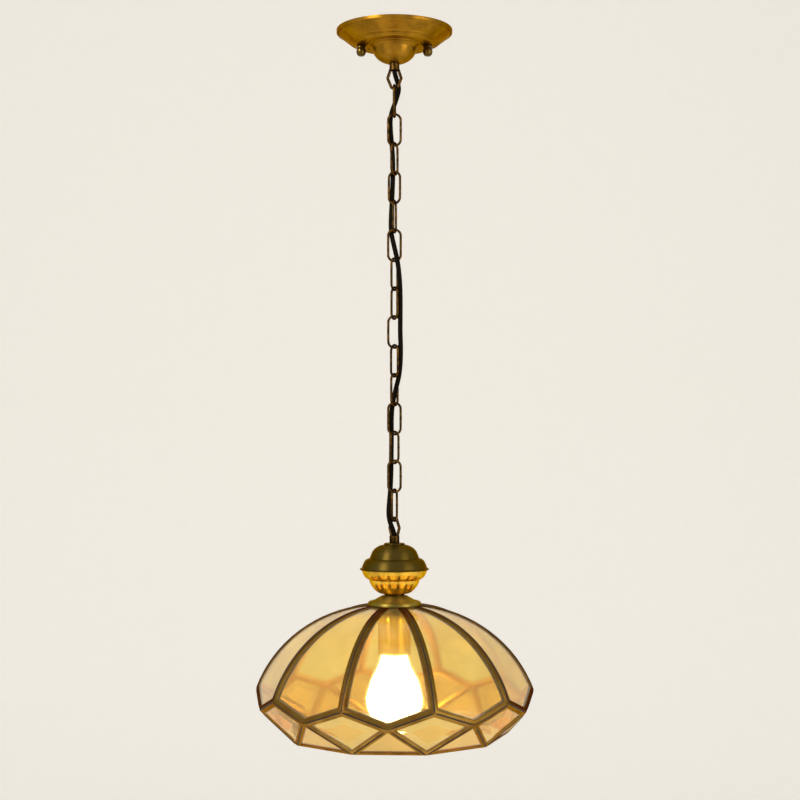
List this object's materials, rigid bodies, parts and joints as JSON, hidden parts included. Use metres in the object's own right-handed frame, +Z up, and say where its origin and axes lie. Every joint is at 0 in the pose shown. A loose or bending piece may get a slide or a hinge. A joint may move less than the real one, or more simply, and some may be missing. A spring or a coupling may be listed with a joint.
{
  "type": "pendant light",
  "caption": "Chain-hung pendant light: domed brass canopy, oval-link chain laced with its cord, turned brass body and a faceted shade of pale glass round one bulb.",
  "frame": {"origin": "middle of the crossbar's top face, in the ceiling's plane", "axes": "+Z up, out of the ceiling face; X along the crossbar through both cap nuts; -Y towards the viewer"},
  "size_m": [0.2996, 0.294, 0.7582],
  "materials": {
    "aged_brass": "spun and lacquered brass with an aged gold finish",
    "bronze_wire": "wire with a dark bronze finish",
    "channel_brass": "folded brass channel with a dull olive tarnish",
    "zinc_steel": "zinc-plated steel",
    "pale_glass": "bent pale straw glass with a slight haze",
    "bevel_glass": "bevelled pale straw glass",
    "cord_plastic": "dark brown plastic sheath",
    "core_plastic": "insulated cores",
    "block_plastic": "moulded terminal block",
    "porcelain": "glazed porcelain",
    "contact_brass": "bare brass contact",
    "bulb_metal": "thin rolled metal",
    "bulb_black": "black vitrite",
    "opal_glass": "white opal glass",
    "clear_glass": "clear stem glass with wires"
  },
  "bodies": {
    "canopy_set": {"crossbar": "zinc_steel", "crossbar_studs": "zinc_steel", "stud_lock_nuts": "zinc_steel", "canopy": "aged_brass", "canopy_nipple": "zinc_steel", "canopy_washer": "zinc_steel", "canopy_nut": "zinc_steel", "terminal_block": "block_plastic", "terminal_screws": "zinc_steel", "earth_screw": "contact_brass", "cord_cores": "core_plastic", "top_loop": "bronze_wire", "supply_cord": "cord_plastic"},
    "cap_nut_left": {"cap_nut_left": "aged_brass"},
    "cap_nut_right": {"cap_nut_right": "aged_brass"},
    "chain_link_01": {"chain_link_01": "bronze_wire"},
    "chain_link_02": {"chain_link_02": "bronze_wire"},
    "chain_link_03": {"chain_link_03": "bronze_wire"},
    "chain_link_04": {"chain_link_04": "bronze_wire"},
    "chain_link_05": {"chain_link_05": "bronze_wire"},
    "chain_link_06": {"chain_link_06": "bronze_wire"},
    "chain_link_07": {"chain_link_07": "bronze_wire"},
    "chain_link_08": {"chain_link_08": "bronze_wire"},
    "chain_link_09": {"chain_link_09": "bronze_wire"},
    "chain_link_10": {"chain_link_10": "bronze_wire"},
    "chain_link_11": {"chain_link_11": "bronze_wire"},
    "chain_link_12": {"chain_link_12": "bronze_wire"},
    "chain_link_13": {"chain_link_13": "bronze_wire"},
    "chain_link_14": {"chain_link_14": "bronze_wire"},
    "chain_link_15": {"chain_link_15": "bronze_wire"},
    "lamp_head": {"lower_loop": "bronze_wire", "seat_disc": "aged_brass", "upper_cap": "aged_brass", "lower_cap": "aged_brass", "neck_ring": "aged_brass", "shade_collar": "aged_brass", "body_stem": "zinc_steel", "crown_disc": "aged_brass", "clamp_washer": "zinc_steel", "stem_nut": "zinc_steel", "main_pane_frames": "channel_brass", "main_panes": "pale_glass", "lozenge_frames": "channel_brass", "lozenge_panes": "bevel_glass", "triangle_frames": "channel_brass", "triangle_panes": "pale_glass", "holder_cap": "aged_brass", "holder_sleeve": "aged_brass", "holder_insert": "porcelain", "screw_shell": "contact_brass", "centre_contact": "contact_brass"},
    "bulb": {"bulb_tip": "bulb_metal", "bulb_insulator": "bulb_black", "bulb_cap": "bulb_metal", "bulb_glass": "opal_glass", "bulb_mount": "clear_glass"}
  },
  "joints": [
    {"name": "cap_nut_left_turn", "type": "hinge", "parent": "canopy_set", "child": "cap_nut_left", "pos_m": [-0.0359, 0, -0.0168], "axis": [0, 0, -1], "continuous": true},
    {"name": "cap_nut_right_turn", "type": "hinge", "parent": "canopy_set", "child": "cap_nut_right", "pos_m": [0.0359, 0, -0.0168], "axis": [0, 0, -1], "continuous": true},
    {"name": "chain_swing_01", "type": "hinge", "parent": "canopy_set", "child": "chain_link_01", "pos_m": [0, 0, -0.0624], "axis": [1, 0, 0], "range_deg": [-25, 25], "deforming": ["supply_cord"]},
    {"name": "chain_swing_02", "type": "hinge", "parent": "chain_link_01", "child": "chain_link_02", "pos_m": [0, 0, -0.09325], "axis": [0.0872, 0.9962, 0], "range_deg": [-25, 25], "deforming": ["supply_cord"]},
    {"name": "chain_swing_03", "type": "hinge", "parent": "chain_link_02", "child": "chain_link_03", "pos_m": [0, 0, -0.1244], "axis": [-0.9962, -0.0872, 0], "range_deg": [-25, 25], "deforming": ["supply_cord"]},
    {"name": "chain_swing_04", "type": "hinge", "parent": "chain_link_03", "child": "chain_link_04", "pos_m": [0, 0, -0.15555], "axis": [-0.4848, -0.8746, 0], "range_deg": [-25, 25], "deforming": ["supply_cord"]},
    {"name": "chain_swing_05", "type": "hinge", "parent": "chain_link_04", "child": "chain_link_05", "pos_m": [0, 0, -0.1867], "axis": [0.891, -0.454, 0], "range_deg": [-25, 25], "deforming": ["supply_cord"]},
    {"name": "chain_swing_06", "type": "hinge", "parent": "chain_link_05", "child": "chain_link_06", "pos_m": [0, 0, -0.21785], "axis": [0.225, 0.9744, 0], "range_deg": [-25, 25], "deforming": ["supply_cord"]},
    {"name": "chain_swing_07", "type": "hinge", "parent": "chain_link_06", "child": "chain_link_07", "pos_m": [0, 0, -0.249], "axis": [-0.9994, 0.0349, 0], "range_deg": [-25, 25], "deforming": ["supply_cord"]},
    {"name": "chain_swing_08", "type": "hinge", "parent": "chain_link_07", "child": "chain_link_08", "pos_m": [0, 0, -0.28015], "axis": [-0.4695, -0.8829, 0], "range_deg": [-25, 25], "deforming": ["supply_cord"]},
    {"name": "chain_swing_09", "type": "hinge", "parent": "chain_link_08", "child": "chain_link_09", "pos_m": [0, 0, -0.3113], "axis": [-0.4695, 0.8829, 0], "range_deg": [-25, 25], "deforming": ["supply_cord"]},
    {"name": "chain_swing_10", "type": "hinge", "parent": "chain_link_09", "child": "chain_link_10", "pos_m": [0, 0, -0.34245], "axis": [0.9781, 0.2079, 0], "range_deg": [-25, 25], "deforming": ["supply_cord"]},
    {"name": "chain_swing_11", "type": "hinge", "parent": "chain_link_10", "child": "chain_link_11", "pos_m": [0, 0, -0.3736], "axis": [0.5446, -0.8387, 0], "range_deg": [-25, 25], "deforming": ["supply_cord"]},
    {"name": "chain_swing_12", "type": "hinge", "parent": "chain_link_11", "child": "chain_link_12", "pos_m": [0, 0, -0.40475], "axis": [0.5, 0.866, 0], "range_deg": [-25, 25], "deforming": ["supply_cord"]},
    {"name": "chain_swing_13", "type": "hinge", "parent": "chain_link_12", "child": "chain_link_13", "pos_m": [0, 0, -0.4359], "axis": [-0.9877, 0.1564, 0], "range_deg": [-25, 25], "deforming": ["supply_cord"]},
    {"name": "chain_swing_14", "type": "hinge", "parent": "chain_link_13", "child": "chain_link_14", "pos_m": [0, 0, -0.46705], "axis": [-0.6428, -0.766, 0], "range_deg": [-25, 25], "deforming": ["supply_cord"]},
    {"name": "chain_swing_15", "type": "hinge", "parent": "chain_link_14", "child": "chain_link_15", "pos_m": [0, 0, -0.4982], "axis": [0.9877, -0.1564, 0], "range_deg": [-25, 25], "deforming": ["supply_cord"]},
    {"name": "chain_swing_16", "type": "hinge", "parent": "chain_link_15", "child": "lamp_head", "pos_m": [0, 0, -0.52935], "axis": [0.3907, 0.9205, 0], "range_deg": [-25, 25], "deforming": ["supply_cord"]},
    {"name": "bulb_out", "type": "slide", "parent": "lamp_head", "child": "bulb", "axis": [0, 0, -1], "range_m": [0, 0.12]}
  ]
}
